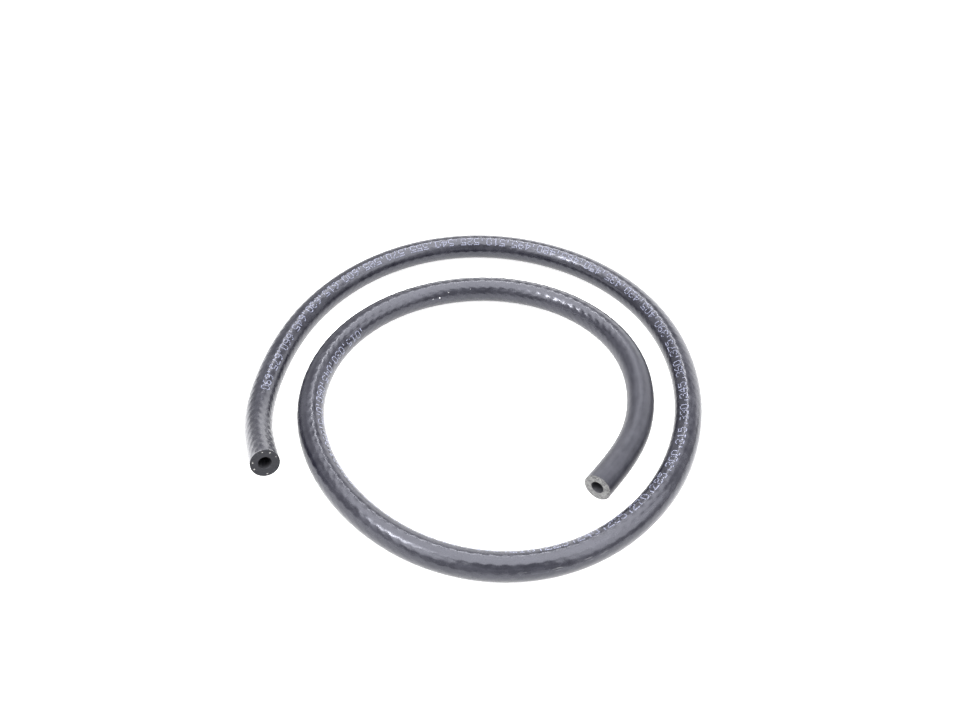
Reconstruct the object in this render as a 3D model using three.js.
import * as THREE from 'three';

// A cut length of fuel hose, lying on the floor in a loose flat spiral with both
// cut ends standing a little clear of it. Millimetres, +Z up, floor at z = 0.

// Layers of the hose wall, from the bore outwards
const BORE_DIAMETER = 6;
const INNER_TUBE_WALL = 2;
const BRAID_THICKNESS = 0.5;
const COVER_THICKNESS = 0.8;
const LAYER_CLEARANCE = 0.1;

// Fineness of the swept solids
const SECTION_SIDES = 12;
const SWEEP_STEPS = 72;

// Bend points that the centre line is drawn towards: x, y and the height of the
// hose's underside above the floor. They run from the outer cut to the inner cut.
const BEND_POINTS = [
  [-91, -63, 14],
  [-104.3, -27, 0.5],
  [-101.5, 11.5, 0],
  [-90.5, 48.5, 0],
  [-66.5, 81.5, 0],
  [-33.5, 102, 0],
  [2, 108, 0],
  [36.5, 101, 0],
  [67, 83.5, 0],
  [90.5, 55.5, 0],
  [103.2, 19, 0],
  [102.8, -23, 0],
  [88.5, -61.5, 0],
  [64, -89.5, 0],
  [34.5, -105, 0],
  [1, -107.5, 0],
  [-34.5, -94.5, 0],
  [-65, -64.5, 0],
  [-80.5, -26.5, 0],
  [-78.5, 9.5, 0],
  [-63, 40, 0],
  [-34, 63, 0],
  [5.5, 71.5, 0],
  [43.5, 61.5, 0],
  [70, 37, 0],
  [82, 5, 0],
  [77, -35.5, 0],
  [53, -68.5, 4],
];

const BORE_RADIUS = BORE_DIAMETER / 2;
const TUBE_RADIUS = BORE_RADIUS + INNER_TUBE_WALL;
const BRAID_INNER_RADIUS = TUBE_RADIUS + LAYER_CLEARANCE;
const BRAID_OUTER_RADIUS = BRAID_INNER_RADIUS + BRAID_THICKNESS;
const COVER_INNER_RADIUS = BRAID_OUTER_RADIUS + LAYER_CLEARANCE;
const HOSE_RADIUS = COVER_INNER_RADIUS + COVER_THICKNESS;

// The centre line: a uniform cubic B-spline drawn towards the bend points. One extra
// point mirrored past each end makes it start and stop on the first and last of them.
class HoseRoute extends THREE.Curve {
  constructor(bendPoints, hoseRadius) {
    super();
    const points = bendPoints.map(([x, y, lift]) => new THREE.Vector3(x, y, lift + hoseRadius));
    const mirrored = (end, inner) => end.clone().multiplyScalar(2).sub(inner);
    this.points = [mirrored(points[0], points[1]), ...points, mirrored(points.at(-1), points.at(-2))];
    this.spans = points.length - 1;
    this.arcLengthDivisions = 50 * this.spans;
  }

  getPoint(t, target = new THREE.Vector3()) {
    const span = Math.min(Math.floor(t * this.spans), this.spans - 1);
    const u = t * this.spans - span;
    const weights = [
      (1 - u) ** 3 / 6,
      (3 * u ** 3 - 6 * u ** 2 + 4) / 6,
      (-3 * u ** 3 + 3 * u ** 2 + 3 * u + 1) / 6,
      u ** 3 / 6,
    ];
    target.set(0, 0, 0);
    weights.forEach((weight, i) => target.addScaledVector(this.points[span + i], weight));
    return target;
  }

  // Frames that stay upright, so that one flat of the section faces the floor all along
  computeFrenetFrames(steps) {
    const up = new THREE.Vector3(0, 0, 1);
    const tangents = [];
    const normals = [];
    const binormals = [];
    for (let i = 0; i <= steps; i++) {
      const tangent = this.getTangentAt(i / steps);
      const normal = up.clone().addScaledVector(tangent, -up.dot(tangent)).normalize();
      tangents.push(tangent);
      normals.push(normal);
      binormals.push(new THREE.Vector3().crossVectors(tangent, normal));
    }
    return { tangents, normals, binormals };
  }
}

// Corners of a regular section whose flats lie at the given radius from the centre line
function sectionCorners(radius) {
  const halfSide = Math.PI / SECTION_SIDES;
  const cornerRadius = radius / Math.cos(halfSide);
  return Array.from({ length: SECTION_SIDES }, (_, i) => {
    const angle = halfSide * (2 * i + 1);
    return new THREE.Vector2(cornerRadius * Math.cos(angle), cornerRadius * Math.sin(angle));
  });
}

// One layer of the wall: a ring-shaped section swept along the whole route
function sweptLayer(route, innerRadius, outerRadius) {
  const section = new THREE.Shape(sectionCorners(outerRadius));
  section.holes.push(new THREE.Path(sectionCorners(innerRadius)));
  return new THREE.ExtrudeGeometry(section, {
    steps: SWEEP_STEPS,
    extrudePath: route,
    bevelEnabled: false,
  });
}

const innerRubber = new THREE.MeshStandardMaterial({ color: 0x4a4b50, roughness: 0.85, metalness: 0 });
const whiteYarn = new THREE.MeshStandardMaterial({ color: 0xc9c7c2, roughness: 0.9, metalness: 0 });
const coverRubber = new THREE.MeshStandardMaterial({ color: 0x3c3d46, roughness: 0.45, metalness: 0 });

const route = new HoseRoute(BEND_POINTS, HOSE_RADIUS);

const layers = [
  ['inner_tube', BORE_RADIUS, TUBE_RADIUS, innerRubber],
  ['textile_braid', BRAID_INNER_RADIUS, BRAID_OUTER_RADIUS, whiteYarn],
  ['outer_cover', COVER_INNER_RADIUS, HOSE_RADIUS, coverRubber],
];

const hose = new THREE.Group();
for (const [name, innerRadius, outerRadius, material] of layers) {
  const layer = new THREE.Mesh(sweptLayer(route, innerRadius, outerRadius), material);
  layer.name = name;
  hose.add(layer);
}

export default hose;
